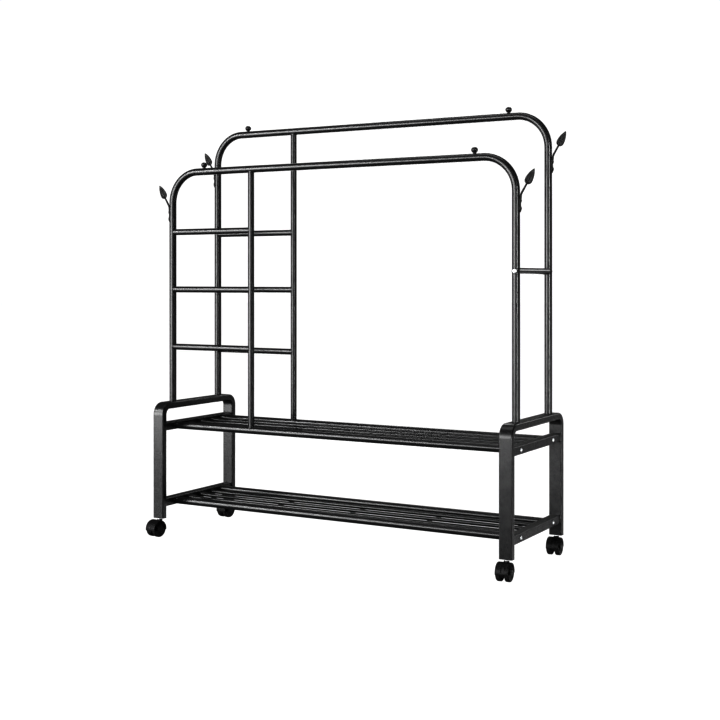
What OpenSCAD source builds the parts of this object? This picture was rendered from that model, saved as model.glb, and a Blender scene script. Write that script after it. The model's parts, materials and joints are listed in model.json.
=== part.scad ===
// Two-rail clothes rack on casters, with two rod shelves.
// Units are millimetres. +X is to the right, +Y to the back, +Z up.
// The origin is on the floor, midway between the four posts.

/* [Overall] */
// Distance between the left and right posts, centre to centre
post_spacing = 1200; // [900:10:1400]
// Depth of the end frames, outside to outside
frame_depth = 400; // [360:5:480]
// Distance between the front and rear arches, centre to centre
arch_gap = 247; // [220:1:260]
// Height of the front rail's centre line
front_rail_z = 1167; // [1120:1:1230]
// Height of the rear rail's centre line
rear_rail_z = 1310; // [1260:1:1400]

/* [Arch tubes] */
// Outer diameter of the rails, posts and shelf side tubes
tube_d = 22; // [20:0.5:26]
// Outer diameter of the dividers and rungs
thin_d = 19; // [16:0.5:19]
// Outer diameter of the side cross tube
cross_d = 18; // [15:0.5:19]
// Wall of all round tubes
tube_wall = 1.2; // [1:0.1:2]
// Centre-line radius of the rail's bends
bend_r = 98; // [60:1:120]
// Height at which each post plugs into its top rail
seam_z = 910; // [880:1:960]
// Distance of the dividers from the middle, towards the left
divider_x = 292; // [150:1:400]
// Height of the side cross tube
cross_z = 845; // [700:1:880]

/* [End frames] */
// Width of the end frame's tube, along X
leg_w = 40; // [36:1:50]
// Thickness of the end frame's tube, along Y on the legs
leg_t = 20; // [18:1:24]
// Corner radius of the end frame's tube
leg_corner_r = 4; // [2:0.5:6]
// Wall of the end frame's tube
leg_wall = 1.5; // [1.2:0.1:2.5]
// Height of the end frame's top face
frame_top_z = 425; // [410:1:460]
// Height of the legs' lower ends, under their plugs
leg_bottom_z = 57; // [57:1:60]
// Outer radius of the end frame's bends
frame_bend_r = 38; // [34:1:44]

/* [Shelves] */
// Height of the upper shelf's side tubes
upper_shelf_z = 348.5; // [300:0.5:360]
// Height of the lower shelf's side tubes
lower_shelf_z = 105; // [95:0.5:160]
// Width of a crossbar, along X
crossbar_w = 30; // [28:1:34]
// Height of a crossbar
crossbar_h = 25; // [25:1:30]
// Diameter of a slat
rod_d = 12; // [8:0.5:14]
// Diameter of a tie
tie_d = 6; // [5:0.5:8]
// Distance between neighbouring slats
slat_pitch = 62; // [50:1:64]
// Distance between neighbouring ties
tie_pitch = 266.5; // [200:0.5:270]

/* [Hooks and knobs] */
// Diameter of a ball knob
knob_d = 19; // [16:0.5:24]
// Distance of the knobs from the middle
knob_x = 474; // [300:1:480]
// Height of the front hooks' lower ends
front_hook_z = 1008; // [960:1:1015]
// Height of the rear hooks' lower ends
rear_hook_z = 1136; // [960:1:1150]
// Length of a hook's leaf
leaf_len = 48; // [40:1:60]
// Width of a hook's leaf
leaf_w = 23; // [16:1:26]

/* [Casters] */
// Diameter of a wheel
wheel_d = 50; // [46:1:50]
// Width of one wheel, without its domed face
wheel_w = 13.5; // [12:0.5:17]
// Distance of the axle from the swivel axis
trail = 17; // [15:1:18]
// Turn of the left casters about their stems, in degrees
left_turn = -8; // [-180:1:180]
// Turn of the right casters about their stems, in degrees
right_turn = 4; // [-180:1:180]

/* [Hidden] */
$fn = 64;
post_x = post_spacing / 2;
arch_y = arch_gap / 2;
leg_y = frame_depth / 2 - leg_t / 2;
tube_r = tube_d / 2;
thin_r = thin_d / 2;
cross_r = cross_d / 2;
rod_r = rod_d / 2;
tie_r = tie_d / 2;
slide_gap = 0.05;

// Rung heights: the rear ladder's spacing differs a little from the front one's
front_rung_z = [603, 789, 975];
rear_rung_z = [582, 787, 976];

// Shelf build-up: the slats are level with the side tubes, and the ties run under them
tie_drop = rod_r + tie_r;
tie_inset = 4;
crossbar_corner_r = 3;

// Fasteners
m6_r = 3;
m8_r = 4;
bolt_gap = 0.2;
dome_r = 6.5;
dome_h = 3.6;
socket_d = 4.6;
socket_deep = 2;
insert_len = 12;
screw_r = 1.7;
screw_len = 5;
screw_head_r = 3.4;
screw_head_h = 1.8;

// Hook base, held by two screws
base_h = 44;
base_t = 4.5;
base_w = 10;
base_corner_r = 4;
hook_screw_pitch = 22;
stem_r = 2.8;
stem_bend_r = 26;
stem_lean = 31;
stem_run = 29;
stem_sink = 2;
leaf_lean = 29;
knuckle_r = stem_r + 0.2;
leaf_t = 4.4;

// Leg plug and caster stem
plug_flange = 2;
plug_len = 24;
plug_gap = 0.1;
collar_r = 6;
collar_h = 4;
pin_r = 3.5;
pin_len = 17;
bead_r = 4.2;
bead_h = 1.4;
bead_up = 3;

// Caster hood and wheels, about the swivel axis
wheel_r = wheel_d / 2;
wheel_in = 6;
wheel_out = wheel_in + wheel_w;
axle_r = 3;
axle_half = 17;
hub_r = 7;
hub_in = 5;
rim_t = 4;
face_dome = 1.5;
web_half = 4.5;
web_bottom_z = 13;
hood_in_r = wheel_r + 0.8;
hood_out_r = wheel_r + 2.2;
hood_half = 19.5;
hood_lip_z = 21;
hood_top_z = leg_bottom_z - collar_h - 0.3;
boss_r = 5.6;
neck_r = 8;

SIDES = [["left", -1, left_turn], ["right", 1, right_turn]];
ROWS = [["front", -1, front_rail_z, front_hook_z], ["rear", 1, rear_rail_z, rear_hook_z]];

COAT = [0.12, 0.12, 0.125];
ZINC = [0.75, 0.76, 0.78];
NYLON = [0.06, 0.06, 0.065];

// ---- Building blocks ----

// Solid rod of radius r and length h, along X, Y or Z, centred
module rod_x(r, h) rotate([0, 90, 0]) cylinder(r = r, h = h, center = true);
module rod_y(r, h) rotate([90, 0, 0]) cylinder(r = r, h = h, center = true);
module rod_z(r, h) cylinder(r = r, h = h, center = true);

// Outline of a rectangle with round corners, centred
module round_rect(w, h, r) {
    square([w - 2 * r, h], center = true);
    square([w, h - 2 * r], center = true);
    for (sx = [-1, 1], sy = [-1, 1])
        translate([sx * (w / 2 - r), sy * (h / 2 - r)]) circle(r = r);
}

// Cross-section of a rectangular tube
module box_section(w, h, r, wall) {
    difference() {
        round_rect(w, h, r);
        round_rect(w - 2 * wall, h - 2 * wall, max(r - wall, 0.5));
    }
}

// Cross-section of a round tube
module ring_section(r, wall) {
    difference() {
        circle(r = r);
        circle(r = r - wall);
    }
}

// Upright round tube from z0 to z1
module upright(r, z0, z1) {
    translate([0, 0, z0]) linear_extrude(z1 - z0) ring_section(r, tube_wall);
}

// Cap cut from a ball: r is its radius at the base, h its height
module dome(r, h) {
    ball_r = (r * r + h * h) / (2 * h);
    intersection() {
        translate([0, 0, h - ball_r]) sphere(r = ball_r);
        cylinder(r = r, h = h + 1);
    }
}

// Domed bolt: its head rises along +Z from the origin, its shank runs down
module dome_bolt(shank_r, shank_len) {
    difference() {
        dome(dome_r, dome_h);
        translate([0, 0, dome_h - socket_deep]) cylinder(d = socket_d, h = dome_h, $fn = 6);
    }
    translate([0, 0, -shank_len]) cylinder(r = shank_r, h = shank_len);
}

// ---- End frames ----

// Bend of the end frame between its top bar and one leg (sy is the leg's side)
module frame_bend(sy) {
    line_r = frame_bend_r - leg_t / 2;
    translate([0, sy * (frame_depth / 2 - frame_bend_r), frame_top_z - frame_bend_r])
        mirror([0, sy < 0 ? 1 : 0, 0])
            rotate([0, -90, 0])
                rotate_extrude(angle = 90)
                    translate([line_r, 0]) box_section(leg_t, leg_w, leg_corner_r, leg_wall);
}

module end_frame(sx) {
    leg_z0 = leg_bottom_z + plug_flange;
    leg_z1 = frame_top_z - frame_bend_r;
    bar_half = frame_depth / 2 - frame_bend_r;
    color(COAT) difference() {
        translate([sx * post_x, 0, 0]) {
            for (sy = [-1, 1]) {
                translate([0, sy * leg_y, leg_z0])
                    linear_extrude(leg_z1 - leg_z0) box_section(leg_w, leg_t, leg_corner_r, leg_wall);
                frame_bend(sy);
            }
            translate([0, bar_half, frame_top_z - leg_t / 2])
                rotate([90, 0, 0])
                    linear_extrude(2 * bar_half) box_section(leg_w, leg_t, leg_corner_r, leg_wall);
        }
        for (sy = [-1, 1])
            translate([sx * post_x, sy * arch_y, frame_top_z - leg_t / 2])
                rod_z(m8_r + bolt_gap, leg_t + 2);
    }
}

module crossbar(sx, z) {
    bar_half = frame_depth / 2 - leg_t;
    color(COAT) difference() {
        translate([sx * post_x, bar_half, z])
            rotate([90, 0, 0])
                linear_extrude(2 * bar_half)
                    box_section(crossbar_w, crossbar_h, crossbar_corner_r, leg_wall);
        for (sy = [-1, 1])
            translate([sx * post_x, sy * arch_y, z]) rod_x(m6_r + bolt_gap, crossbar_w + 2);
    }
}

// ---- Shelves ----

module shelf_side_tube(sy, z) {
    half = post_x - crossbar_w / 2;
    color(COAT) translate([-half, sy * arch_y, z])
        rotate([0, 90, 0]) linear_extrude(2 * half) ring_section(tube_r, tube_wall);
}

module shelf_slats(z) {
    len = 2 * post_x - crossbar_w;
    color(COAT) for (i = [-1:1])
        translate([0, i * slat_pitch, z]) rod_x(rod_r, len);
}

module shelf_ties(z) {
    len = arch_gap - 2 * tie_inset;
    color(COAT) for (i = [-2:2])
        difference() {
            translate([i * tie_pitch, 0, z - tie_drop]) rod_y(tie_r, len);
            for (sy = [-1, 1])
                translate([i * tie_pitch, sy * arch_y, z]) rod_x(tube_r, 4 * rod_d);
            for (j = [-1:1])
                translate([i * tie_pitch, j * slat_pitch, z]) rod_x(rod_r, 4 * rod_d);
        }
}

// ---- Arches ----

// Bend of a top rail on side sx
module rail_bend(sx) {
    translate([sx * (post_x - bend_r), 0, 0])
        mirror([sx < 0 ? 1 : 0, 0, 0])
            rotate([90, 0, 0])
                rotate_extrude(angle = 90) translate([bend_r, 0]) ring_section(tube_r, tube_wall);
}

module top_rail(sy, rail_z, hook_z) {
    half = post_x - bend_r;
    color(COAT) difference() {
        translate([0, sy * arch_y, 0]) {
            translate([-half, 0, rail_z])
                rotate([0, 90, 0]) linear_extrude(2 * half) ring_section(tube_r, tube_wall);
            translate([0, 0, rail_z - bend_r]) {
                rail_bend(-1);
                rail_bend(1);
            }
            for (sx = [-1, 1])
                translate([sx * post_x, 0, 0]) upright(tube_r, seam_z, rail_z - bend_r);
        }
        for (sx = [-1, 1])
            at_hook_screws(sx, sy, hook_z)
                translate([0, 0, -screw_len]) cylinder(r = screw_r + bolt_gap, h = screw_len + 1);
    }
}

module post(sx, sy) {
    color(COAT) difference() {
        translate([sx * post_x, sy * arch_y, 0]) upright(tube_r, frame_top_z, seam_z);
        if (sx > 0)
            translate([post_x, sy * arch_y, cross_z]) rod_y(m6_r + bolt_gap, tube_d + 2);
    }
}

module divider(sy, rail_z) {
    color(COAT) difference() {
        translate([-divider_x, sy * arch_y, 0]) upright(thin_r, upper_shelf_z, rail_z);
        for (z = [upper_shelf_z, rail_z])
            translate([-divider_x, sy * arch_y, z]) rod_x(tube_r, 2 * thin_d);
    }
}

module rungs(sy, heights) {
    len = post_x - divider_x;
    color(COAT) for (z = heights)
        difference() {
            translate([-post_x, sy * arch_y, z])
                rotate([0, 90, 0]) linear_extrude(len) ring_section(thin_r, tube_wall);
            translate([-post_x, sy * arch_y, z]) rod_z(tube_r, 2 * thin_d);
            translate([-divider_x, sy * arch_y, z]) rod_z(thin_r, 2 * thin_d);
        }
}

module side_cross_tube() {
    color(COAT) difference() {
        translate([post_x, arch_y, cross_z])
            rotate([90, 0, 0]) linear_extrude(arch_gap) ring_section(cross_r, tube_wall);
        for (sy = [-1, 1])
            translate([post_x, sy * arch_y, cross_z]) rod_z(tube_r, 2 * cross_d);
    }
}

// ---- Knobs and hooks ----

module knob(sx, sy, rail_z) {
    color(COAT) difference() {
        translate([sx * knob_x, sy * arch_y, rail_z]) {
            translate([0, 0, knob_d / 2 + tube_r - 0.5]) sphere(d = knob_d);
            cylinder(r = knob_d / 4, h = tube_r + 2);
        }
        translate([sx * knob_x, sy * arch_y, rail_z]) rod_x(tube_r, 2 * knob_d);
    }
}

// Places its children on the outer side of an arch's leg, with +X pointing away from the leg
module at_hook(sx, sy, hook_z) {
    translate([sx * (post_x + tube_r), sy * arch_y, hook_z])
        mirror([sx < 0 ? 1 : 0, 0, 0]) children();
}

// Places its children on the leg's skin at each of a hook's two screws, with +Z pointing outwards
module at_hook_screws(sx, sy, hook_z) {
    for (s = [-1, 1])
        at_hook(sx, sy, hook_z + base_h / 2 + s * hook_screw_pitch / 2)
            rotate([0, 90, 0]) children();
}

// Flat leaf, from its stalk at the origin up to its tip, lying in the XZ plane: round below, pointed above
module leaf() {
    round_r = leaf_w / 2;
    tip_h = leaf_len - round_r;
    side_r = (tip_h * tip_h + round_r * round_r) / (2 * round_r);
    rotate([90, 0, 0])
        linear_extrude(leaf_t, center = true)
            translate([0, round_r]) {
                circle(r = round_r);
                intersection() {
                    translate([round_r - side_r, 0]) circle(r = side_r);
                    translate([side_r - round_r, 0]) circle(r = side_r);
                    translate([-round_r, 0]) square([2 * round_r, tip_h]);
                }
            }
}

module hook(sx, sy, hook_z) {
    turn_x = stem_r + slide_gap + stem_bend_r;
    color(COAT) at_hook(sx, sy, hook_z) {
        difference() {
            translate([-2, 0, base_h / 2])
                rotate([0, 90, 0])
                    linear_extrude(base_t + 2) round_rect(base_h, base_w, base_corner_r);
            translate([-tube_r, 0, base_h / 2]) rod_z(tube_r, base_h + 2);
            for (s = [-1, 1])
                translate([0, 0, base_h / 2 + s * hook_screw_pitch / 2]) rod_x(screw_r + bolt_gap, 20);
        }
        translate([turn_x, 0, base_h - stem_sink]) {
            rotate([90, 0, 0])
                mirror([1, 0, 0])
                    rotate_extrude(angle = stem_lean) translate([stem_bend_r, 0]) circle(r = stem_r);
            rotate([0, stem_lean, 0])
                translate([-stem_bend_r, 0, 0]) {
                    sphere(r = knuckle_r);
                    cylinder(r = stem_r, h = stem_run);
                    translate([0, 0, stem_run - stem_sink])
                        rotate([0, leaf_lean - stem_lean, 0]) leaf();
                }
        }
    }
}

module hook_screws() {
    color(COAT) for (row = ROWS, side = SIDES)
        at_hook_screws(side[1], row[1], row[3]) {
            translate([0, 0, base_t]) dome(screw_head_r, screw_head_h);
            translate([0, 0, -screw_len]) cylinder(r = screw_r, h = base_t + screw_len);
        }
}

// ---- Fasteners and inner pieces ----

module shelf_bolts() {
    shank = crossbar_w + insert_len;
    color(ZINC) for (sx = [-1, 1], sy = [-1, 1], z = [lower_shelf_z, upper_shelf_z])
        translate([sx * (post_x + crossbar_w / 2), sy * arch_y, z])
            rotate([0, sx * 90, 0]) dome_bolt(m6_r, shank);
}

module cross_tube_bolts() {
    shank = tube_d + insert_len + 3;
    color(ZINC) for (sy = [-1, 1])
        translate([post_x, sy * (arch_y + tube_r), cross_z])
            rotate([-sy * 90, 0, 0]) dome_bolt(m6_r, shank);
}

module post_bolts() {
    shank = leg_t + insert_len;
    color(ZINC) for (sx = [-1, 1], sy = [-1, 1])
        translate([sx * post_x, sy * arch_y, frame_top_z - leg_t])
            mirror([0, 0, 1]) dome_bolt(m8_r, shank);
}

// Threaded insert, from the origin along +Z
module insert(tube_outer_r, bolt_r) {
    difference() {
        cylinder(r = tube_outer_r - tube_wall - slide_gap, h = insert_len);
        translate([0, 0, -1]) cylinder(r = bolt_r + slide_gap, h = insert_len + 2);
    }
}

module tube_inserts() {
    inner_x = post_x - crossbar_w / 2;
    color(ZINC) {
        for (sx = [-1, 1], sy = [-1, 1], z = [lower_shelf_z, upper_shelf_z])
            translate([sx * inner_x, sy * arch_y, z]) rotate([0, -sx * 90, 0]) insert(tube_r, m6_r);
        for (sy = [-1, 1])
            translate([post_x, sy * (arch_y - tube_r - 3), cross_z])
                rotate([sy * 90, 0, 0]) insert(cross_r, m6_r);
        for (sx = [-1, 1], sy = [-1, 1])
            translate([sx * post_x, sy * arch_y, frame_top_z]) insert(tube_r, m8_r);
    }
}

module joint_sleeves() {
    sleeve_len = 70;
    color(ZINC) for (sx = [-1, 1], sy = [-1, 1])
        translate([sx * post_x, sy * arch_y, 0])
            upright(tube_r - tube_wall - slide_gap, seam_z - sleeve_len / 2, seam_z + sleeve_len / 2);
}

module leg_plugs() {
    inner_w = leg_w - 2 * leg_wall - 2 * plug_gap;
    inner_t = leg_t - 2 * leg_wall - 2 * plug_gap;
    color(NYLON) for (sx = [-1, 1], sy = [-1, 1])
        translate([sx * post_x, sy * leg_y, leg_bottom_z])
            difference() {
                union() {
                    linear_extrude(plug_flange) round_rect(leg_w, leg_t, leg_corner_r);
                    linear_extrude(plug_len) round_rect(inner_w, inner_t, leg_corner_r - leg_wall);
                }
                translate([0, 0, -1]) cylinder(r = m8_r + slide_gap, h = plug_len + 2);
            }
}

// ---- Casters ----

// Fixed stem: held in the leg plug, with a collar, and a pin on which the hood turns
module caster_stems() {
    collar_z = leg_bottom_z - collar_h;
    color(ZINC) for (sx = [-1, 1], sy = [-1, 1])
        translate([sx * post_x, sy * leg_y, 0]) {
            translate([0, 0, leg_bottom_z]) cylinder(r = m8_r, h = plug_len);
            translate([0, 0, collar_z]) cylinder(r = collar_r, h = collar_h);
            translate([0, 0, collar_z - pin_len]) cylinder(r = pin_r, h = pin_len);
            translate([0, 0, collar_z - pin_len + bead_up]) cylinder(r = bead_r, h = bead_h);
        }
}

// Places its children at a caster: the origin is on the swivel axis, the wheels trail towards -Y
module at_caster(sx, sy, turn) {
    translate([sx * post_x, sy * leg_y, 0]) rotate([0, 0, turn]) children();
}

module at_axle() translate([0, -trail, wheel_r]) children();

module caster_hood() {
    pin_bottom_z = leg_bottom_z - collar_h - pin_len;
    color(NYLON) difference() {
        union() {
            intersection() {
                at_axle() rod_x(hood_out_r, 2 * web_half);
                translate([-50, -trail - 50, web_bottom_z]) cube([100, 100, 100]);
            }
            intersection() {
                at_axle() difference() {
                    rod_x(hood_out_r, 2 * hood_half);
                    rod_x(hood_in_r, 2 * hood_half + 2);
                }
                translate([-50, -trail - 50, hood_lip_z]) cube([100, 100, 100]);
            }
            difference() {
                translate([0, 0, pin_bottom_z - 2]) cylinder(r = neck_r, h = hood_top_z - pin_bottom_z + 2);
                for (s = [-1, 1])
                    translate([s * (boss_r + 10), 0, 0]) at_axle() rod_x(hood_in_r, 20);
            }
        }
        translate([0, 0, pin_bottom_z - 1])
            cylinder(r = pin_r + slide_gap, h = hood_top_z - pin_bottom_z + 2);
        translate([0, 0, pin_bottom_z + bead_up - 0.3]) cylinder(r = bead_r + 0.1, h = bead_h + 0.6);
        at_axle() rod_x(axle_r + 0.02, 100);
    }
}

module caster_axle() {
    color(ZINC) at_axle() rod_x(axle_r, 2 * axle_half);
}

// Half section of a wheel: x is the radius, y runs outwards along the axle
module wheel_section() {
    edge = 3;
    inner_r = wheel_r - rim_t;
    difference() {
        polygon([
            [0, hub_in], [hub_r, hub_in], [hub_r, wheel_in + 8], [inner_r - 1, wheel_in + 8],
            [inner_r, wheel_in], [wheel_r - 1.5, wheel_in], [wheel_r, wheel_in + 1.5],
            [wheel_r, wheel_out - edge], [wheel_r - 0.4 * edge, wheel_out - 0.4 * edge],
            [wheel_r - edge, wheel_out], [inner_r - 1, wheel_out], [inner_r - 2, wheel_out - 0.8],
            [inner_r - 5, wheel_out + 0.5 * face_dome], [hub_r, wheel_out + face_dome],
            [0, wheel_out + face_dome]
        ]);
        square([axle_r + slide_gap, axle_half + 0.5]);
    }
}

// Wheel on the +X side (s = 1) or the -X side (s = -1) of the hood
module caster_wheel(s) {
    color(NYLON) at_axle()
        mirror([s < 0 ? 1 : 0, 0, 0]) rotate([0, 90, 0]) rotate_extrude() wheel_section();
}

// ---- The nodes ----

end_frame(-1);  // left_end_frame
end_frame(1);  // right_end_frame
crossbar(-1, upper_shelf_z);  // left_upper_crossbar
crossbar(-1, lower_shelf_z);  // left_lower_crossbar
crossbar(1, upper_shelf_z);  // right_upper_crossbar
crossbar(1, lower_shelf_z);  // right_lower_crossbar
shelf_side_tube(-1, upper_shelf_z);  // upper_shelf_front_tube
shelf_side_tube(1, upper_shelf_z);  // upper_shelf_rear_tube
shelf_slats(upper_shelf_z);  // upper_shelf_slats
shelf_ties(upper_shelf_z);  // upper_shelf_ties
shelf_side_tube(-1, lower_shelf_z);  // lower_shelf_front_tube
shelf_side_tube(1, lower_shelf_z);  // lower_shelf_rear_tube
shelf_slats(lower_shelf_z);  // lower_shelf_slats
shelf_ties(lower_shelf_z);  // lower_shelf_ties
top_rail(-1, front_rail_z, front_hook_z);  // front_top_rail
top_rail(1, rear_rail_z, rear_hook_z);  // rear_top_rail
divider(-1, front_rail_z);  // front_divider
divider(1, rear_rail_z);  // rear_divider
rungs(-1, front_rung_z);  // front_rungs
rungs(1, rear_rung_z);  // rear_rungs
side_cross_tube();
hook_screws();
shelf_bolts();
cross_tube_bolts();
post_bolts();
tube_inserts();
joint_sleeves();
leg_plugs();
caster_stems();
for (row = ROWS, side = SIDES) {
    corner = str(row[0], "_", side[0]);
    sx = side[1];
    sy = row[1];
    post(sx, sy);
    knob(sx, sy, row[2]);
    hook(sx, sy, row[3]);
    at_caster(sx, sy, side[2]) {
        caster_hood();
        caster_axle();
        caster_wheel(-1);
        caster_wheel(1);
    }
}
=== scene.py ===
import json
import math
import random

import bmesh
import bpy
from mathutils import Matrix, Vector


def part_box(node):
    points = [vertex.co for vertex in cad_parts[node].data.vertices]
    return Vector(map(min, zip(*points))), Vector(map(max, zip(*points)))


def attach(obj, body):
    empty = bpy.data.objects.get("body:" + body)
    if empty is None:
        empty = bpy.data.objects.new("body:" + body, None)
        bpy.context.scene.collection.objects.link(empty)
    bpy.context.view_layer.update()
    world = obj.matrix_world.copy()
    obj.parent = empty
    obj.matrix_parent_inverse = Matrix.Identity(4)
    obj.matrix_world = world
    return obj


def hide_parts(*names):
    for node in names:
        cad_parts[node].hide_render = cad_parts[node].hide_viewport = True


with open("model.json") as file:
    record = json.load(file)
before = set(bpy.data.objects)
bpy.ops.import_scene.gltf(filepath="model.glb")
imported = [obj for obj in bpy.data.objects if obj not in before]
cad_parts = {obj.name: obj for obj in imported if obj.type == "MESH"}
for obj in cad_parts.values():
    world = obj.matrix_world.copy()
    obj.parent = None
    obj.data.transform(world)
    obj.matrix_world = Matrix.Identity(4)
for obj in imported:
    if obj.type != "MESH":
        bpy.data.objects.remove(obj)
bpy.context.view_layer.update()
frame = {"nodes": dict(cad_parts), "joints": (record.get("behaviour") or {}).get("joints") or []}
NODES = frame["nodes"]

MM = 0.001
TAU = 2 * math.pi
SIDES = (("left", -1), ("right", 1))
ROWS = (("front", -1), ("rear", 1))
CORNERS = [(f"{row}_{side}", sx, sy) for row, sy in ROWS for side, sx in SIDES]

# Sizes in millimetres that the nodes' boxes don't give
TUBE_R = 11.0          # posts, top rails and shelf tubes
THIN_R = 9.5           # dividers and rungs
CROSSBAR_CORNER_R = 3.0
KNOB_STEM_R = 4.6
SEAM_Z = 910.0         # joint line on the posts
SEAM_R = 0.42
BOLT_R, BOLT_H = 6.5, 3.6
SOCKET_R, SOCKET_DEEP = 1.7, 0.9
WASHER_T = 0.8
HEAD_LIFT = 0.5        # bolt head's bearing face above the tube, bedded in its washer
AXLE_Z = 25.0
TRAIL = 17.0           # axle behind the swivel
WHEEL_OUT = 19.5       # wheel's outer face from the caster's middle
HOOD_IN_R, HOOD_OUT_R = 25.8, 27.2
HOOD_HALF = 19.5
HOOD_LIP_Z = 21.0
HOOD_TOP_Z = 52.7
NECK_R = 7.6
WEB_HALF = 4.5         # web between the two wheels
WEB_BOTTOM_Z = 13.0


def lo_hi(node):
    """A CAD node's lowest and highest corners, in millimetres."""
    lo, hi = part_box(node)
    return lo / MM, hi / MM


def middle(node):
    lo, hi = lo_hi(node)
    return (lo + hi) / 2


def islands(node):
    """Boxes, in millimetres, of the separate bodies in one CAD node."""
    mesh = NODES[node].data
    key = {}
    group = []
    for v in mesh.vertices:
        k = tuple(round(c * 2e4) for c in v.co)
        group.append(key.setdefault(k, len(key)))
    root = list(range(len(key)))

    def find(i):
        while root[i] != i:
            root[i] = root[root[i]]
            i = root[i]
        return i

    for e in mesh.edges:
        a, b = (find(group[i]) for i in e.vertices)
        root[a] = b
    boxes = {}
    for v in mesh.vertices:
        r = find(group[v.index])
        p = v.co / MM
        lo, hi = boxes.get(r, (p, p))
        boxes[r] = (Vector(map(min, lo, p)), Vector(map(max, hi, p)))
    return sorted(boxes.values(), key=lambda b: tuple(round(c, 1) for c in (*b[0], *b[1])))


POST_X = middle("front_right_post").x
ARCH_Y = middle("rear_right_post").y
RAIL_Z = {row: lo_hi(f"{row}_top_rail")[1].z - TUBE_R for row, _ in ROWS}
SHELF_Z = {s: middle(f"{s}_shelf_front_tube").z for s in ("upper", "lower")}
SLAT_R = (lo_hi("upper_shelf_slats")[1].z - lo_hi("upper_shelf_slats")[0].z) / 2
TIE_R = (lo_hi("upper_shelf_ties")[1].z - lo_hi("upper_shelf_ties")[0].z) / 2


# ---- Mesh building ----

class Shape:
    """A mesh in the making, in millimetres in the row frame."""

    def __init__(self):
        self.bm = bmesh.new()

    def bridge(self, a, b):
        n = max(len(a), len(b))
        for i in range(n):
            j = (i + 1) % n
            quad = [a[i % len(a)], a[j % len(a)], b[j % len(b)], b[i % len(b)]]
            face = list(dict.fromkeys(quad))
            if len(face) > 2:
                self.bm.faces.new(face)

    def loft(self, rows, loop=False):
        """Skin over rows of points round a form; a row of one point is a pole, and open ends are capped."""
        rings = [[self.bm.verts.new(p) for p in row] for row in rows]
        for a, b in zip(rings, rings[1:]):
            self.bridge(a, b)
        if loop:
            self.bridge(rings[-1], rings[0])
        else:
            for ring in (rings[0], rings[-1]):
                if len(ring) > 2:
                    self.bm.faces.new(ring)
        return self

    def lathe(self, profile, place, n=48, warp=None):
        """Turned form: profile is (radius, height) along place's local Z; warp(r, h, angle) changes h."""
        rows = []
        for r, h in profile:
            if r < 1e-6:
                rows.append([place @ Vector((0, 0, warp(0, h, 0) if warp else h))])
                continue
            row = []
            for i in range(n):
                a = TAU * i / n
                z = warp(r, h, a) if warp else h
                row.append(place @ Vector((r * math.cos(a), r * math.sin(a), z)))
            rows.append(row)
        return self.loft(rows)

    def sweep(self, path, radii, away, closed=False, n=8):
        """Round bead along path; away(i) points off the surface it lies on. An open bead ends in poles."""
        rows = []
        count = len(path)
        for i, p in enumerate(path):
            nxt = path[(i + 1) % count] if closed else path[min(i + 1, count - 1)]
            prv = path[i - 1] if closed or i else path[0]
            t = (nxt - prv).normalized()
            u = away(i)
            u = (u - t * u.dot(t)).normalized()
            w = t.cross(u)
            if not closed and i in (0, count - 1):
                rows.append([p])
                continue
            rows.append([
                p + radii[i] * (math.cos(TAU * k / n) * u + math.sin(TAU * k / n) * w)
                for k in range(n)
            ])
        return self.loft(rows, loop=closed)

    def piece(self, name, material, body, slot, sharp=32, replaces=()):
        bm = self.bm
        bmesh.ops.remove_doubles(bm, verts=bm.verts, dist=0.002)
        bmesh.ops.recalc_face_normals(bm, faces=bm.faces)
        bmesh.ops.scale(bm, vec=(MM, MM, MM), verts=bm.verts)
        mesh = bpy.data.meshes.new(name)
        bm.to_mesh(mesh)
        bm.free()
        for p in mesh.polygons:
            p.use_smooth = True
        mesh.set_sharp_from_angle(angle=math.radians(sharp))
        mesh.materials.append(material)
        obj = bpy.data.objects.new(name, mesh)
        bpy.context.scene.collection.objects.link(obj)
        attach(obj, body)
        if replaces:
            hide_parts(*replaces)
        return obj


def smooth(t, a, b):
    """0 below a, 1 above b, and smooth between."""
    t = min(1.0, max(0.0, (t - a) / (b - a)))
    return t * t * (3 - 2 * t)


def basis(x, y, z, at):
    """Matrix whose columns are the directions x, y, z, moved to at."""
    m = Matrix.Identity(4)
    for i, axis in enumerate((x, y, z)):
        m.col[i][:3] = axis
    m.translation = at
    return m


X, Y, Z = Vector((1, 0, 0)), Vector((0, 1, 0)), Vector((0, 0, 1))


# ---- Materials ----

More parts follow.
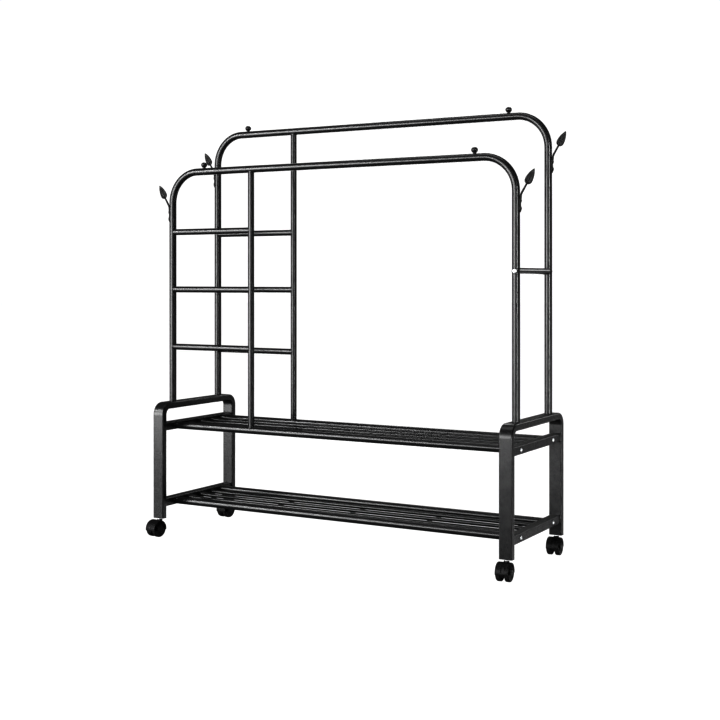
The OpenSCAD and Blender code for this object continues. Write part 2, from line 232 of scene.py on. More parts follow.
class Finish:
    """A procedural material built up on one Principled shader, in object coordinates."""

    def __init__(self, name, metallic=0.0, specular=0.5):
        self.mat = bpy.data.materials.new(name)
        self.mat.use_nodes = True
        self.nodes = self.mat.node_tree.nodes
        self.links = self.mat.node_tree.links
        self.shader = self.nodes["Principled BSDF"]
        self.shader.inputs["Metallic"].default_value = metallic
        self.shader.inputs["Specular IOR Level"].default_value = specular
        self.coords = self.nodes.new("ShaderNodeTexCoord").outputs["Object"]
        self.normal = None

    def noise(self, scale, detail=2.0, rough=0.5, stretch=None):
        n = self.nodes.new("ShaderNodeTexNoise")
        n.inputs["Scale"].default_value = scale
        n.inputs["Detail"].default_value = detail
        n.inputs["Roughness"].default_value = rough
        where = self.coords
        if stretch:
            m = self.nodes.new("ShaderNodeMapping")
            m.inputs["Scale"].default_value = stretch
            self.links.new(where, m.inputs["Vector"])
            where = m.outputs["Vector"]
        self.links.new(where, n.inputs["Vector"])
        return n.outputs[0]

    def ramp(self, value, low, high, out_low, out_high):
        """Value from low to high mapped onto out_low to out_high."""
        n = self.nodes.new("ShaderNodeMapRange")
        n.interpolation_type = "SMOOTHSTEP"
        for key, v in (("From Min", low), ("From Max", high), ("To Min", out_low), ("To Max", out_high)):
            n.inputs[key].default_value = v
        self.links.new(value, n.inputs["Value"])
        return n.outputs["Result"]

    def mix(self, share, a, b):
        n = self.nodes.new("ShaderNodeMix")
        n.data_type = "RGBA"
        self.links.new(share, n.inputs[0])
        for socket, v in ((n.inputs[6], a), (n.inputs[7], b)):
            if isinstance(v, tuple):
                socket.default_value = (*v, 1)
            else:
                self.links.new(v, socket)
        return n.outputs[2]

    def calc(self, op, *values):
        n = self.nodes.new("ShaderNodeMath")
        n.operation = op
        for socket, v in zip(n.inputs, values):
            if isinstance(v, (int, float)):
                socket.default_value = v
            else:
                self.links.new(v, socket)
        return n.outputs[0]

    def bump(self, height, depth_mm):
        n = self.nodes.new("ShaderNodeBump")
        n.inputs["Strength"].default_value = 1.0
        n.inputs["Distance"].default_value = depth_mm * MM
        self.links.new(height, n.inputs["Height"])
        if self.normal:
            self.links.new(self.normal, n.inputs["Normal"])
        self.normal = n.outputs["Normal"]

    def facing_up(self, low, high):
        """How far the surface looks upwards, 0 to 1."""
        geo = self.nodes.new("ShaderNodeNewGeometry")
        sep = self.nodes.new("ShaderNodeSeparateXYZ")
        self.links.new(geo.outputs["Normal"], sep.inputs[0])
        return self.ramp(sep.outputs["Z"], low, high, 0.0, 1.0)

    def attribute(self, name):
        n = self.nodes.new("ShaderNodeAttribute")
        n.attribute_name = name
        return n.outputs["Fac"]

    def done(self, colour, rough):
        self.links.new(colour, self.shader.inputs["Base Color"])
        self.links.new(rough, self.shader.inputs["Roughness"])
        if self.normal:
            self.links.new(self.normal, self.shader.inputs["Normal"])
        return self.mat


def powder_coat(name, dark, light, rough, peel=0.004, specular=0.5):
    """Baked black powder coat: orange peel, fine fleck, uneven gloss, and a trace of dust on top."""
    f = Finish(name, specular=specular)
    tone = f.noise(14, 3, 0.6)
    fleck = f.noise(2600, 1)
    colour = f.mix(f.ramp(tone, 0.35, 0.65, 0, 1), dark, light)
    colour = f.mix(f.ramp(fleck, 0.58, 0.72, 0, 0.30), colour, tuple(2.6 * c for c in light))
    dust = f.calc("MULTIPLY", f.facing_up(0.55, 0.98), f.ramp(f.noise(60, 4, 0.7), 0.42, 0.7, 0.1, 1))
    colour = f.mix(f.calc("MULTIPLY", dust, 0.05), colour, (0.16, 0.155, 0.15))
    gloss = f.calc("ADD", f.ramp(f.noise(38, 3, 0.6), 0.3, 0.7, rough - 0.014, rough + 0.014),
                   f.calc("MULTIPLY", dust, 0.12))
    gloss = f.calc("ADD", gloss, f.ramp(fleck, 0.3, 0.7, -0.02, 0.03))
    f.bump(f.noise(1100), peel * 0.5)
    f.bump(f.noise(200, 1), peel * 0.4)
    return f.done(colour, gloss)


def plated_zinc(name, tint, rough):
    """Bright zinc plate with drifting tone and fine turning marks."""
    f = Finish(name, metallic=1.0)
    cloud = f.noise(220, 4, 0.6)
    colour = f.mix(f.ramp(cloud, 0.3, 0.7, 0, 1), tuple(0.8 * c for c in tint), tint)
    grain = f.noise(3500, 2, 0.6)
    colour = f.mix(f.ramp(grain, 0.55, 0.75, 0, 0.35), colour, tuple(0.55 * c for c in tint))
    gloss = f.ramp(cloud, 0.3, 0.7, rough - 0.06, rough + 0.1)
    f.bump(grain, 0.03)
    return f.done(colour, gloss)


def moulded_plastic(name, dark, light, rough, grain=0.04, scuff=None):
    """Moulded nylon: spark-eroded grain, flow marks, and scuffs where an attribute asks for them."""
    f = Finish(name, specular=0.3)
    flow = f.noise(90, 3, 0.6, stretch=(1, 1, 3))
    colour = f.mix(f.ramp(flow, 0.35, 0.65, 0, 1), dark, light)
    fine = f.noise(2200, 2, 0.6)
    gloss = f.ramp(fine, 0.3, 0.7, rough - 0.06, rough + 0.08)
    if scuff:
        worn = f.calc("MULTIPLY", f.attribute(scuff), f.ramp(f.noise(700, 4, 0.7), 0.4, 0.62, 0.15, 1))
        colour = f.mix(f.calc("MULTIPLY", worn, 0.35), colour, (0.05, 0.049, 0.047))
        gloss = f.calc("ADD", gloss, f.calc("MULTIPLY", worn, 0.25))
    dust = f.calc("MULTIPLY", f.facing_up(0.5, 0.95), f.ramp(f.noise(500, 3, 0.7), 0.45, 0.7, 0.1, 1))
    colour = f.mix(f.calc("MULTIPLY", dust, 0.04), colour, (0.15, 0.145, 0.14))
    f.bump(fine, grain)
    f.bump(f.noise(500), grain)
    return f.done(colour, gloss)


COAT = powder_coat("black_powder_coat", (0.0142, 0.0144, 0.0149), (0.0166, 0.0168, 0.0174), 0.28)
COAT_WELD = powder_coat("black_powder_coat_on_welds", (0.0135, 0.0137, 0.0142), (0.0175, 0.0177, 0.0183),
                        0.33, 0.008)
COAT_CAST = powder_coat("black_coat_on_castings", (0.0060, 0.0061, 0.0064), (0.0095, 0.0096, 0.0100),
                        0.38, 0.008, 0.26)
# Near-black, rough coat for the rings at the post joints: a painted shadow of the seam gap
SEAM_SHADOW = powder_coat("shadow_line", (0.003, 0.003, 0.0032), (0.005, 0.005, 0.0052), 0.6)
ZINC = plated_zinc("zinc_plate", (0.92, 0.93, 0.94), 0.54)
STEM_ZINC = plated_zinc("stem_zinc", (0.62, 0.62, 0.63), 0.36)
HOOD = moulded_plastic("hood_nylon", (0.0050, 0.0050, 0.0053), (0.0080, 0.0080, 0.0084), 0.5)
WHEEL = moulded_plastic("wheel_nylon", (0.0065, 0.0065, 0.0069), (0.0100, 0.0100, 0.0105), 0.5, scuff="tread")
PLUG = moulded_plastic("plug_nylon", (0.010, 0.010, 0.0105), (0.014, 0.014, 0.0145), 0.5)


# ---- Weld beads ----

BEAD_SEED = random.Random(11)
TACK_H = 1.7


def ripple(count, r):
    """Radii along a bead: a ripple every third point, and a little unevenness."""
    base = [r * (0.93 + 0.14 * (i % 3) / 2) for i in range(count)]
    return [b * BEAD_SEED.uniform(0.95, 1.05) for b in base]


def tube_joint(shape, at, main, branch, main_r, branch_r, r=1.25, steps=66):
    """Bead where a round tube meets another: main is the through tube's axis, branch the other's."""
    side = branch.cross(main)
    path = []
    for i in range(steps):
        t = TAU * i / steps
        s = branch_r * math.sin(t)
        depth = math.sqrt(max(main_r * main_r - s * s, 0.0))
        path.append(at + main * (branch_r * math.cos(t)) + side * s + branch * depth)
    centre = at + branch * main_r
    shape.sweep(path, ripple(steps, r), lambda i: (path[i] - centre), closed=True)


def ring_joint(shape, at, axis, r_ring, r=1.1, steps=48):
    """Bead round a tube's end on a flat face."""
    u = axis.orthogonal().normalized()
    w = axis.cross(u)
    angles = [TAU * i / steps for i in range(steps)]
    path = [at + r_ring * (math.cos(a) * u + math.sin(a) * w) for a in angles]
    shape.sweep(path, ripple(steps, r), lambda i: path[i] - at, closed=True)


def box_joint(shape, at, half_x, half_z, corner, r=1.35):
    """Bead round a rectangular tube's end that lies in an XZ plane."""
    path = []
    for cx, cz, a0 in ((1, 1, 0), (-1, 1, 90), (-1, -1, 180), (1, -1, 270)):
        for k in range(6):
            a = math.radians(a0 + 18 * k)
            path.append(at + Vector((cx * (half_x - corner) + corner * math.cos(a), 0,
                                     cz * (half_z - corner) + corner * math.sin(a))))
        x1, z1 = {0: (-1, 1), 90: (-1, -1), 180: (1, -1), 270: (1, 1)}[a0]
        last = path[-1]
        horizontal = a0 in (0, 180)
        goal = at + Vector((x1 * (half_x - (corner if horizontal else 0)), 0,
                            z1 * (half_z - (0 if horizontal else corner))))
        n = 11
        path += [last.lerp(goal, k / n) for k in range(1, n)]
    shape.sweep(path, ripple(len(path), r), lambda i: path[i] - at, closed=True)


def arc_joint(shape, x, sy, z, drop):
    """Bead over a tie's upper half where it runs into a shelf's side tube."""
    path = []
    half = math.acos(max((drop - TUBE_R) / TIE_R, -1)) * 0.98
    for i in range(25):
        t = -half + 2 * half * i / 24
        up = -drop + TIE_R * math.cos(t)
        gap = math.sqrt(max(TUBE_R ** 2 - up * up, 0.0))
        path.append(Vector((x + TIE_R * math.sin(t), sy * (ARCH_Y - gap), z + up)))
    shape.sweep(path, ripple(25, 0.9), lambda i: path[i] - Vector((x, path[i].y, z - drop)))


def tack(shape, at):
    """Lens of weld where a slat rests on a tie."""
    rx, ry = BEAD_SEED.uniform(3.6, 4.3), BEAD_SEED.uniform(4.6, 5.6)
    rows = [[at + Z * TACK_H]]
    for k in range(1, 6):
        a = math.pi * k / 6
        rows.append([at + Vector((rx * math.sin(a) * math.cos(TAU * i / 20),
                                  ry * math.sin(a) * math.sin(TAU * i / 20),
                                  TACK_H * math.cos(a))) for i in range(20)])
    rows.append([at - Z * TACK_H])
    shape.loft(rows)


for row, sy in ROWS:
    y = sy * ARCH_Y
    divider = middle(f"{row}_divider").x
    beads = Shape()
    for lo, hi in islands(f"{row}_rungs"):
        z = (lo.z + hi.z) / 2
        tube_joint(beads, Vector((-POST_X, y, z)), Z, X, TUBE_R, THIN_R)
        tube_joint(beads, Vector((divider, y, z)), Z, -X, THIN_R, THIN_R - 0.05)
    tube_joint(beads, Vector((divider, y, RAIL_Z[row])), X, -Z, TUBE_R, THIN_R)
    tube_joint(beads, Vector((divider, y, SHELF_Z["upper"])), X, Z, TUBE_R, THIN_R)
    for side, _ in SIDES:
        x = middle(f"{row}_{side}_knob").x
        tube_joint(beads, Vector((x, y, RAIL_Z[row])), X, Z, TUBE_R, KNOB_STEM_R, 0.8, 42)
    beads.piece(f"{row}_arch_welds", COAT_WELD, "rack", "black_coat", 50)

for level, z in SHELF_Z.items():
    beads = Shape()
    slats = [(lo + hi) / 2 for lo, hi in islands(f"{level}_shelf_slats")]
    ties = [(lo + hi) / 2 for lo, hi in islands(f"{level}_shelf_ties")]
    tie_xs = sorted({round(t.x, 1) for t in ties})
    slat_end = lo_hi(f"{level}_shelf_slats")[1].x
    tube_end = lo_hi(f"{level}_shelf_front_tube")[1].x
    for s in slats:
        for sx in (-1, 1):
            ring_joint(beads, Vector((sx * slat_end, s.y, s.z)), X, SLAT_R)
        for x in tie_xs:
            tack(beads, Vector((x, s.y, s.z - SLAT_R)))
    for x in tie_xs:
        for sy in (-1, 1):
            arc_joint(beads, x, sy, z, z - ties[0].z)
    for side, sx in SIDES:
        lo, hi = lo_hi(f"{side}_{level}_crossbar")
        mid = (lo + hi) / 2
        for sy in (-1, 1):
            box_joint(beads, Vector((mid.x, sy * hi.y, mid.z)), (hi.x - lo.x) / 2, (hi.z - lo.z) / 2,
                      CROSSBAR_CORNER_R)
        for sy in (-1, 1):
            ring_joint(beads, Vector((sx * tube_end, sy * ARCH_Y, z)), X, TUBE_R, 0.7, 60)
    beads.piece(f"{level}_shelf_welds", COAT_WELD, "rack", "black_coat", 50)

# Thin near-black rings round the posts at the joint line: painted shadow of the seam gap
seam_shadows = Shape()
for sx in (-1, 1):
    for sy in (-1, 1):
        at = Vector((sx * POST_X, sy * ARCH_Y, SEAM_Z))
        angles = [TAU * i / 60 for i in range(60)]
        path = [at + (TUBE_R - 0.12) * Vector((math.cos(a), math.sin(a), 0)) for a in angles]
        seam_shadows.sweep(path, [SEAM_R] * 60, lambda i: path[i] - at, closed=True)
seam_shadows.piece("post_seam_lines", SEAM_SHADOW, "rack", "black_coat", 60)


# ---- Bolts ----

def bolt_head(shape, place, shank_r, shank_len):
    """Button-head bolt: head rises along the local +Z of place from its bearing face, with a hex socket."""
    n = 48
    radius, height = BOLT_R, BOLT_H - HEAD_LIFT

    def hexagon(i):
        a = TAU * i / n
        return SOCKET_R * math.cos(math.pi / 6) / math.cos((a + math.pi / 6) % (math.pi / 3) - math.pi / 6)

    def circle(r, h):
        return [place @ Vector((r * math.cos(TAU * i / n), r * math.sin(TAU * i / n), h)) for i in range(n)]

    ball_r = (radius * radius + height * height) / (2 * height)
    rim = SOCKET_R + 0.9
    rows = [circle(shank_r, -shank_len), circle(shank_r, 0.0)]
    rows += [circle(radius - 0.4, 0.0), circle(radius, 0.25)]
    for k in range(1, 8):
        r = radius - (radius - rim) * k / 8
        rows.append(circle(r, max(0.5, height - ball_r + math.sqrt(ball_r * ball_r - r * r))))
    top = height - 0.12
    rows.append(circle(rim, top))
    for grow, h in ((0.35, top), (0.0, top - 0.35), (0.0, height - SOCKET_DEEP)):
        rows.append([place @ Vector(((hexagon(i) + grow) * math.cos(TAU * i / n),
                                     (hexagon(i) + grow) * math.sin(TAU * i / n), h)) for i in range(n)])
    rows.append([place @ Vector((0, 0, height - SOCKET_DEEP - 0.5))])
    shape.loft(rows)


def washer(shape, place, follow):
    """Washer under a bolt head; follow is the radius of a tube it saddles, along local X, or 0."""
    inner, outer, thick = BOLT_R - 1.2, BOLT_R + 1.7, WASHER_T
    def drop(a, r):
        return math.sqrt(follow ** 2 - (r * math.sin(a)) ** 2) - follow if follow else 0.0

    n = 60
    rows = []
    for r, h in ((inner, 0), (inner, thick), (outer - 0.3, thick), (outer, thick - 0.3), (outer, 0)):
        rows.append([place @ Vector((r * math.cos(TAU * i / n), r * math.sin(TAU * i / n),
                                     h - 0.1 + (drop(TAU * i / n, r) if h < 0.05 else 0))) for i in range(n)])
    shape.loft(rows, loop=True)


def bolt_set(name, found, shank_r, saddle=0.0):
    """Bolts and their washers for one CAD node; found lists (bearing point, outward axis, shank length)."""
    bolts, washers = Shape(), Shape()
    for at, axis, length in found:
        across = Z if abs(axis.z) < 0.5 else X
        place = basis(across, axis.cross(across), axis, at)
        spin = Matrix.Rotation(BEAD_SEED.uniform(0, TAU), 4, "Z")
        bolt_head(bolts, place @ Matrix.Translation((0, 0, HEAD_LIFT)) @ spin, shank_r, length)
        washer(washers, place, saddle)
    bolts.piece(f"{name}_heads", ZINC, "rack", "zinc", 30, replaces=(name,))
    washers.piece(f"{name}_washers", PLUG, "rack", "plug_plastic", 30)


shelf_bolts = []
out_x = lo_hi("right_upper_crossbar")[1].x
for lo, hi in islands("shelf_bolts"):
    sx = 1 if lo.x > 0 else -1
    at = Vector((sx * out_x, (lo.y + hi.y) / 2, (lo.z + hi.z) / 2))
    shelf_bolts.append((at, X * sx, hi.x - lo.x - BOLT_H))
bolt_set("shelf_bolts", shelf_bolts, 3.0)

cross_bolts = []
for lo, hi in islands("cross_tube_bolts"):
    sy = 1 if lo.y > 0 else -1
    at = Vector((POST_X, sy * (ARCH_Y + TUBE_R), (lo.z + hi.z) / 2))
    cross_bolts.append((at, Y * sy, hi.y - lo.y - BOLT_H))
bolt_set("cross_tube_bolts", cross_bolts, 3.0, TUBE_R)

post_bolts = []
for lo, hi in islands("post_bolts"):
    at = Vector(((lo.x + hi.x) / 2, (lo.y + hi.y) / 2, lo.z + BOLT_H))
    post_bolts.append((at, -Z, hi.z - lo.z - BOLT_H))
bolt_set("post_bolts", post_bolts, 4.0)


# ---- Knobs ----

KNOB_PROFILE = (
    (4.3, 9.0), (4.3, 10.9), (4.15, 11.7), (4.4, 12.6), (5.3, 13.8), (6.6, 15.2), (7.9, 16.8), (8.8, 18.4),
    (9.35, 20.0), (9.5, 21.4), (9.3, 23.0), (8.75, 24.6), (7.75, 26.2), (6.4, 27.5), (4.8, 28.5),
    (3.0, 29.15), (1.4, 29.44), (0, 29.5),
)
for corner, _, sy in CORNERS:
    row = corner.split("_")[0]
    at = Vector((middle(f"{corner}_knob").x, sy * ARCH_Y, RAIL_Z[row]))
    knob = Shape()
    knob.lathe(KNOB_PROFILE, Matrix.Translation(at), 56)
    knob.piece(f"{corner}_bud_knob", COAT, "rack", "black_coat", 40, replaces=(f"{corner}_knob",))


# ---- Hooks ----

BASE_H = 44.0
BASE_T = 4.5
BASE_W = 10.0
SCREW_PITCH = 22.0
STEM_R = 2.8
STEM_BEND_R = 26.0
STEM_LEAN = math.radians(31.0)
STEM_RUN = 29.0
LEAF_LEAN = math.radians(29.0)
LEAF_LEN, LEAF_W, LEAF_T = 48.0, 23.0, 4.4


def base_plate(shape, place):
    """Cast base: swells round each screw, dips between them, and is hollowed to sit on the tube."""
    rows = []
    steps = 56
    for i in range(steps + 1):
        t = i / steps
        z = BASE_H / 2 * (1 - math.cos(math.pi * t))
        end = min(z, BASE_H - z)
        half = BASE_W / 2 * math.sqrt(max(1 - (1 - min(end / 4.6, 1)) ** 2, 0.0))
        near = min(abs(z - BASE_H / 2 + s * SCREW_PITCH / 2) for s in (-1, 1))
        half *= 0.86 + 0.14 * (1 - smooth(near, 3.5, 8.0))
        thick = 3.2 + (BASE_T - 3.2) * (1 - smooth(near, 3.6, 7.5))
        thick *= 0.55 + 0.45 * smooth(end, 0.0, 3.2)
        if half < 0.05:
            rows.append([place @ Vector((0.2, 0, z))])
            continue
        ring = []
        for k in range(13):
            y = half * (1 - 2 * k / 12)
            ring.append(place @ Vector((math.sqrt(TUBE_R ** 2 - y * y) - TUBE_R - 0.25, y, z)))
        for k in range(13):
            y = half * math.sin(math.pi * (k / 12 - 0.5))
            edge = (abs(y) / half) ** 5
            ring.append(place @ Vector((thick * (1 - 0.45 * edge) - 0.35 * (y / half) ** 2, y, z)))
        rows.append(ring)
    shape.loft(rows)


def leaf_half(s, length, width):
    """Half-width of the leaf's outline at s along it: a round base, then two arcs to the tip."""
    round_r = width / 2
    if s < round_r:
        return math.sqrt(max(round_r ** 2 - (round_r - s) ** 2, 0.0))
    tip = length - round_r
    side_r = (tip * tip + round_r * round_r) / (2 * round_r)
    return max(math.sqrt(max(side_r ** 2 - (s - round_r) ** 2, 0.0)) - (side_r - round_r), 0.0)


def leaf(shape, place, length, width):
    """Leaf in the local XZ plane, up along Z: on both faces a raised rim, sunk blade and veins."""
    rows = [[place @ Vector((0, 0, 0))]]
    steps, across = 110, 42
    for i in range(1, steps):
        t = i / steps
        s = length * (0.5 - 0.5 * math.cos(math.pi * t)) * 0.35 + length * t * 0.65
        half = leaf_half(s, length, width)
        ring = []
        for face in (-1, 1):
            for k in range(across):
                x = half * (1 - 2 * k / (across - 1)) * face
                off = half - abs(x)
                rim = math.sqrt(max(1 - (1 - min(off / 2.4, 1)) ** 2, 0.0))
                sunk = smooth(off, 3.4, 7.6) * smooth(length - s, 6.0, 15.0)
                sunk = max(sunk, 0.6 * smooth(off, 3.3, 4.5) * smooth(length - s, 6.0, 12.0))
                h = LEAF_T / 2 * (0.1 + 0.9 * rim) - 1.85 * sunk
                mid = 1 - smooth(abs(x), 0.45, 1.5)
                vein_at = (s - 1.25 * abs(x)) % 6.2
                vein = 1 - smooth(min(vein_at, 6.2 - vein_at), 0.3, 1.1)
                h += sunk * max(0.9 * mid, 0.34 * vein)
                ring.append(place @ Vector((x, face * h, s)))
        rows.append(ring)
    rows.append([place @ Vector((0, 0, length))])
    shape.loft(rows)


def hook_stem(shape, place):
    """Round stem from inside the base, bending outwards and fading into the leaf's mid vein.

    Returns the leaf's root and the way the leaf points, both in the hook's own frame.
    """
    path, radii, dirs = [], [], []
    turn_x = STEM_R + 0.05 + STEM_BEND_R
    z0 = BASE_H - 2.0
    path.append(Vector((STEM_R + 0.05, 0, z0 - 6.5)))
    radii.append(0)
    for k, r in ((5.8, 1.8), (4.6, 2.4), (2.5, 2.8)):
        path.append(Vector((STEM_R + 0.05, 0, z0 - k)))
        radii.append(r)
    for k in range(13):
        a = STEM_LEAN * k / 12
        path.append(Vector((turn_x - STEM_BEND_R * math.cos(a), 0, z0 + STEM_BEND_R * math.sin(a))))
        radii.append(STEM_R + 0.25 * (1 - smooth(k, 0, 8)))
    way = Vector((math.sin(STEM_LEAN), 0, math.cos(STEM_LEAN)))
    start = path[-1].copy()
    for k in range(1, 15):
        run = STEM_RUN * k / 14
        path.append(start + way * run)
        radii.append(STEM_R * (1 - 0.12 * k / 14))
    for k, r in ((1.5, 2.2), (4.0, 1.7), (8.0, 1.3), (13.0, 0)):
        path.append(start + way * (STEM_RUN + k))
        radii.append(r)
    path = [place @ p for p in path]
    shape.sweep(path, radii, lambda i: place.to_3x3() @ Y, n=20)
    return start + way * (STEM_RUN - 2.0), Vector((math.sin(LEAF_LEAN), 0, math.cos(LEAF_LEAN)))


for corner, sx, sy in CORNERS:
    base_z = lo_hi(f"{corner}_hook")[0].z
    place = Matrix.Translation((sx * (POST_X + TUBE_R), sy * ARCH_Y, base_z)) @ Matrix.Diagonal((sx, 1, 1, 1))
    hook = Shape()
    base_plate(hook, place)
    root, up = hook_stem(hook, place)
    leaf(hook, place @ basis(up.cross(Y) * -1, Y, up, root), LEAF_LEN, LEAF_W)
    hook.piece(f"{corner}_leaf_hook", COAT_CAST, "rack", "black_coat", 34, replaces=(f"{corner}_hook",))


# ---- Casters ----

JOINTS = {j["name"]: j for j in frame["joints"]}


def caster_place(corner):
    """Matrix from a caster's own frame, in mm on the swivel axis at floor level, to the row frame."""
    pivot = Vector(JOINTS[f"{corner}_swivel"]["pos_m"]) / MM
    across = Vector(JOINTS[f"{corner}_wheel_a_spin"]["axis"]).normalized()
    if across.x < 0:
        across = -across
    return basis(across, Z.cross(across), Z, Vector((pivot.x, pivot.y, 0)))


def hood_skin(x, a):
    """Outer radius of the hood about the axle, at height angle a (0 is the front lip) and half-width x."""
    edge = abs(x) / HOOD_HALF
    r = HOOD_OUT_R - 0.35 * edge ** 2 - 0.75 * smooth(edge, 0.90, 1.0)
    deg = math.degrees(a)
    groove = smooth(abs(x), 15.2, 15.7) * (1 - smooth(abs(x), 16.6, 17.1))
    groove *= smooth(deg, 4, 9) * (1 - smooth(deg, 172, 177))
    r -= 0.4 * groove
    for mid in (33, 57):
        across = smooth(abs(x), 6.8, 7.4) * (1 - smooth(abs(x), 13.0, 13.6))
        r -= 0.8 * (1 - smooth(abs(deg - mid), 7.5, 8.8)) * across
    r -= 0.9 * (1 - smooth(abs(x), 1.6, 4.2)) * smooth(deg, 2, 12)
    return r


def hood(corner):
    """Caster hood: the curved shell, the web between the wheels, and the neck under the leg."""
    swivel = caster_place(corner)
    place = swivel @ Matrix.Translation((0, -TRAIL, AXLE_Z))
    shape = Shape()
    lip = math.asin((HOOD_LIP_Z - AXLE_Z) / HOOD_OUT_R)
    lo_a, hi_a = lip, math.pi - lip
    rows = []
    nx, na = 74, 110
    for i in range(nx + 1):
        x = HOOD_HALF * math.sin(math.pi * (i / nx - 0.5)) * 0.25 + HOOD_HALF * (2 * i / nx - 1) * 0.75
        ring = []
        for k in range(na + 1):
            a = lo_a + (hi_a - lo_a) * k / na
            r = hood_skin(x, a)
            end = min(k, na - k)
            r -= 0.45 * (1 - smooth(end, 0, 2))
            ring.append(place @ Vector((x, -r * math.cos(a), r * math.sin(a))))
        for k in range(na // 2 + 1):
            a = hi_a - (hi_a - lo_a) * k / (na // 2)
            ring.append(place @ Vector((x, -HOOD_IN_R * math.cos(a), HOOD_IN_R * math.sin(a))))
        rows.append(ring)
    shape.loft(rows)
    web_r = HOOD_IN_R + 0.1
    cut = math.asin((WEB_BOTTOM_Z - AXLE_Z) / web_r)
    rows = []
    for x, inset in ((-WEB_HALF, 0.7), (-WEB_HALF + 0.5, 0.1), (WEB_HALF - 0.5, 0.1), (WEB_HALF, 0.7)):
        r = web_r + 0.1 - inset
        ring = []
        for k in range(73):
            a = cut + (math.pi - 2 * cut) * k / 72
            floor_z = WEB_BOTTOM_Z - AXLE_Z + inset
            ring.append(place @ Vector((x, -r * math.cos(a), max(r * math.sin(a), floor_z))))
        rows.append(ring)
    shape.loft(rows)
    rows = []
    n = 64
    top = HOOD_TOP_Z
    for flare, up in ((2.6, -0.3), (1.1, 0.9), (0.35, 2.0), (0.0, 3.4)):
        ring = []
        for k in range(n):
            a = TAU * k / n
            r = NECK_R + flare
            dx, dy = r * math.cos(a), r * math.sin(a)
            skin = hood_skin(dx, 1.2) - 0.25
            z = AXLE_Z + math.sqrt(max(skin ** 2 - (dy + TRAIL) ** 2, 4.0))
            ring.append(swivel @ Vector((dx, dy, min(z + up, top - 0.9))))
        rows.append(ring)
    rim = ((NECK_R, top - 0.7), (7.45, top - 0.25), (7.0, top), (5.6, top), (5.4, top - 0.5), (0, top - 0.5))
    for r, z in rim:
        angles = [TAU * k / n for k in range(n)] if r else [0]
        rows.append([swivel @ Vector((r * math.cos(a), r * math.sin(a), z)) for a in angles])
    shape.loft(rows)
    shape.piece(f"{corner}_caster_shell", HOOD, f"{corner}_caster", "hood_plastic", 30,
                replaces=(f"{corner}_caster_hood",))


# Wheel's section as (radius, height from the caster's middle), then (radius, height from its outer face)
WHEEL_INSIDE = (
    (0, 5.0), (3.1, 5.0), (7.0, 5.0), (7.2, 6.0), (7.2, 13.5), (8.4, 14.0), (19.0, 14.0), (20.2, 13.4),
    (20.9, 6.6), (21.4, 6.0), (23.3, 6.0), (23.9, 6.2), (24.6, 6.9), (24.95, 7.8), (25.0, 8.8), (25.0, 11.0),
    (25.0, 13.5),
)
WHEEL_OUTSIDE = (
    (25.0, -3.4), (24.85, -2.4), (24.4, -1.5), (23.6, -0.6), (22.7, -0.1), (21.9, 0), (20.6, 0),
    (20.2, -0.15), (19.9, -0.6), (19.4, -0.7), (18.6, -0.6), (17.6, -0.4), (16.6, -0.2), (15.6, 0),
    (14.6, 0.2), (13.6, 0.35), (12.6, 0.5), (11.6, 0.65), (10.6, 0.78), (9.9, 0.86), (9.6, 0.6),
    (9.2, 0.5), (8.8, 0.6), (8.5, 1.1), (8.0, 1.35), (6.5, 1.45), (4.0, 1.5), (1.8, 1.5), (1.5, 1.1),
    (0, 1.0),
)
WHEEL_PROFILE = WHEEL_INSIDE + tuple((r, WHEEL_OUT + h) for r, h in WHEEL_OUTSIDE)


def wheel(corner, which):
    """One wheel, with how worn its tread is in the attribute that the wheel's finish reads."""
    s = -1 if which == "a" else 1
    place = caster_place(corner) @ Matrix.Translation((0, -TRAIL, AXLE_Z)) @ basis(
        Y, Z * s, X * s, Vector((0, 0, 0)))

    def dish(r, h, a):
        """Five shallow hollows in the outer disc."""
        if h < WHEEL_OUT - 1 or not 10.4 < r < 18.8:
            return h
        spoke = abs((a / TAU * 5) % 1 - 0.5) * 2
        inside = (1 - smooth(spoke, 0.62, 0.74)) * smooth(r, 10.6, 11.6) * (1 - smooth(r, 17.4, 18.6))
        return h - 0.6 * inside

    shape = Shape()
    shape.lathe(WHEEL_PROFILE, place, 120, dish)
    node = f"{corner}_caster_wheel_{which}"
    obj = shape.piece(f"{corner}_caster_tyre_{which}", WHEEL, node, "wheel_plastic", 28, replaces=(node,))
    centre = place.translation
    axis = place.to_3x3() @ Z
    worn = obj.data.attributes.new("tread", "FLOAT", "POINT")
    values = []
    for v in obj.data.vertices:
        p = v.co / MM - centre
        along = p.dot(axis)
        r = (p - axis * along).length
        values.append(smooth(r, 23.6, 24.7))
    worn.data.foreach_set("value", values)


for corner, _, _ in CORNERS:
    hood(corner)
    wheel(corner, "a")
    wheel(corner, "b")


# ---- CAD nodes that stay: their materials ----

SLOT_FINISH = {
    "black_coat": COAT, "zinc": ZINC, "hood_plastic": HOOD, "wheel_plastic": WHEEL, "plug_plastic": PLUG,
}
for name, obj in NODES.items():
    for i, s in enumerate(obj.material_slots):
        slot_name = next(k for k in SLOT_FINISH if s.material and s.material.name.startswith(k))
        obj.material_slots[i].material = STEM_ZINC if name == "caster_stems" else SLOT_FINISH[slot_name]


# ---- Camera, floor and light ----

scene = bpy.context.scene
scene.view_settings.view_transform = "Standard"
scene.view_settings.gamma = 0.55
cam_data = bpy.data.cameras.new("camera")
cam_data.sensor_width = 36.0
cam_data.lens = 62.31
cam_data.shift_y = -0.113
cam_data.clip_end = 200.0
camera = bpy.data.objects.new("camera", cam_data)
camera.location = (1.936, -3.350, 0.824)
camera.rotation_euler = (math.radians(90), 0, math.radians(29.63))
scene.collection.objects.link(camera)
scene.camera = camera


LIGHT = 2.8            # all softboxes together


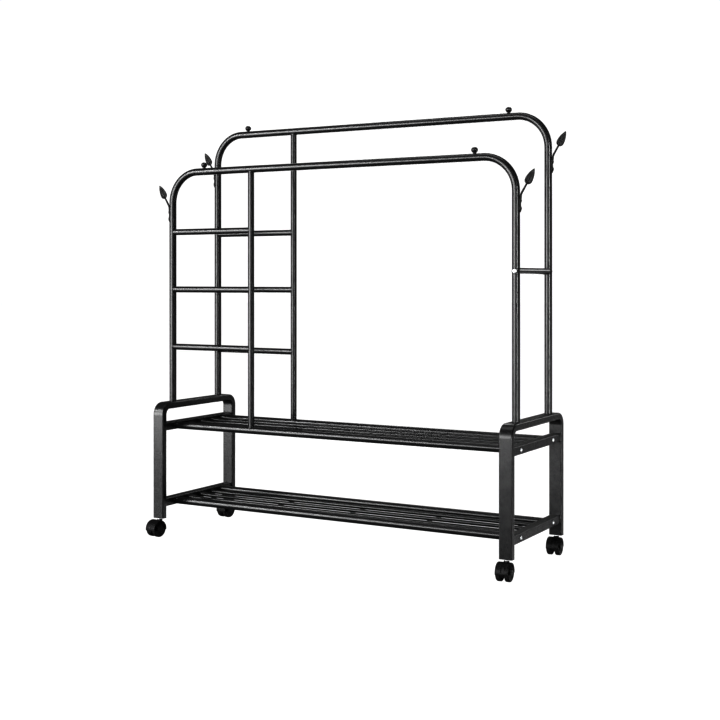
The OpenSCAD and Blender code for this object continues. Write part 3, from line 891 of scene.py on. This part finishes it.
def soft_light(name, at, aim, size, radiance, spread=180.0):
    """Rectangular softbox of even radiance; places and size in metres, spread in degrees."""
    data = bpy.data.lights.new(name, "AREA")
    data.shape = "RECTANGLE"
    data.size, data.size_y = size
    data.energy = LIGHT * radiance * math.pi * size[0] * size[1]
    data.spread = math.radians(spread)
    obj = bpy.data.objects.new(name, data)
    obj.location = at
    way = Vector(aim) - Vector(at)
    obj.rotation_euler = way.to_track_quat("-Z", "Y").to_euler()
    obj.visible_camera = False
    scene.collection.objects.link(obj)


soft_light("key", (-0.15, -4.3, 0.95), (-0.15, 0.0, 0.95), (1.7, 2.5), 3.8)
soft_light("left_wing", (-2.7, -4.1, 0.82), (-0.6, 0.0, 0.82), (2.8, 1.8), 6.4)
soft_light("low_left", (-4.0, -4.0, 0.1), (-0.6, -0.2, 0.1), (1.3, 0.4), 1.0)
soft_light("high_left", (-2.7, -3.1, 2.45), (-0.4, 0.0, 0.8), (1.4, 0.7), 14.0)
soft_light("right_fill", (3.1, -1.75, 0.9), (0.95, 0.0, 0.9), (0.5, 2.4), 0.9, 34)
soft_light("right_side", (4.3, 0.2, -0.25), (0.6, 0.0, -0.25), (1.5, 1.7), 1.9)
soft_light("left_side", (-4.3, 0.2, -0.25), (-0.6, 0.0, -0.25), (1.5, 1.7), 1.7)
soft_light("left_corner", (-4.1, -3.5, -1.35), (-0.6, 0.0, -0.1), (1.6, 1.1), 1.8)
soft_light("back_right", (2.3, 3.8, 0.1), (0.6, 0.0, 0.1), (2.0, 2.0), 0.2)
soft_light("back_corner", (3.4, 3.2, -1.3), (0.2, 0.0, -0.1), (2.4, 0.9), 1.5)
soft_light("back", (1.9, 4.0, 2.0), (0.0, 0.0, 0.8), (1.2, 1.4), 2.0)
soft_light("back_low", (-1.2, 4.3, -0.85), (0.0, 0.0, -0.3), (4.6, 1.2), 2.0)
soft_light("back_high", (-1.6, 3.7, 3.1), (0.0, 0.0, 0.8), (2.6, 1.1), 2.0)
soft_light("top", (0.0, -0.3, 3.6), (0.0, 0.0, 0.6), (2.4, 1.6), 1.2)

# White to the camera, and a dim, slightly brighter sky to everything else
world = bpy.data.worlds.new("studio")
scene.world = world
world.use_nodes = True
wn, wl = world.node_tree.nodes, world.node_tree.links
wn.clear()
out = wn.new("ShaderNodeOutputWorld")
path_node = wn.new("ShaderNodeLightPath")
lit = wn.new("ShaderNodeBackground")
seen = wn.new("ShaderNodeBackground")
seen.inputs["Color"].default_value = (1, 1, 1, 1)
seen.inputs["Strength"].default_value = 1.05
coord = wn.new("ShaderNodeTexCoord")
split = wn.new("ShaderNodeSeparateXYZ")
wl.new(coord.outputs["Generated"], split.inputs[0])
rise = wn.new("ShaderNodeMapRange")
for key, v in (("From Min", -0.35), ("From Max", 0.6), ("To Min", 0.09), ("To Max", 0.14)):
    rise.inputs[key].default_value = v
wl.new(split.outputs["Z"], rise.inputs["Value"])
wl.new(rise.outputs["Result"], lit.inputs["Strength"])
lit.inputs["Color"].default_value = (1, 1, 1, 1)
pick = wn.new("ShaderNodeMixShader")
wl.new(path_node.outputs["Is Camera Ray"], pick.inputs[0])
wl.new(lit.outputs[0], pick.inputs[1])
wl.new(seen.outputs[0], pick.inputs[2])
wl.new(pick.outputs[0], out.inputs["Surface"])

# Pale floor that only the camera sees, so that the black tubes don't mirror it
FLOOR_R = 40.0
floor_bm = bmesh.new()
bmesh.ops.create_circle(floor_bm, cap_ends=True, radius=FLOOR_R, segments=96)
floor_mesh = bpy.data.meshes.new("studio_floor")
floor_bm.to_mesh(floor_mesh)
floor_bm.free()
floor = bpy.data.objects.new("studio_floor", floor_mesh)
scene.collection.objects.link(floor)
floor_mat = bpy.data.materials.new("pale_floor")
floor_mat.use_nodes = True
fn, fl = floor_mat.node_tree.nodes, floor_mat.node_tree.links
fs = fn["Principled BSDF"]
fs.inputs["Base Color"].default_value = (0.07, 0.07, 0.07, 1)
fs.inputs["Roughness"].default_value = 1.0
fs.inputs["Specular IOR Level"].default_value = 0.0
fs.inputs["Emission Color"].default_value = (1, 1, 1, 1)
fs.inputs["Emission Strength"].default_value = 1.0
floor_mesh.materials.append(floor_mat)
floor.visible_diffuse = False
floor.visible_glossy = False
floor.visible_shadow = False
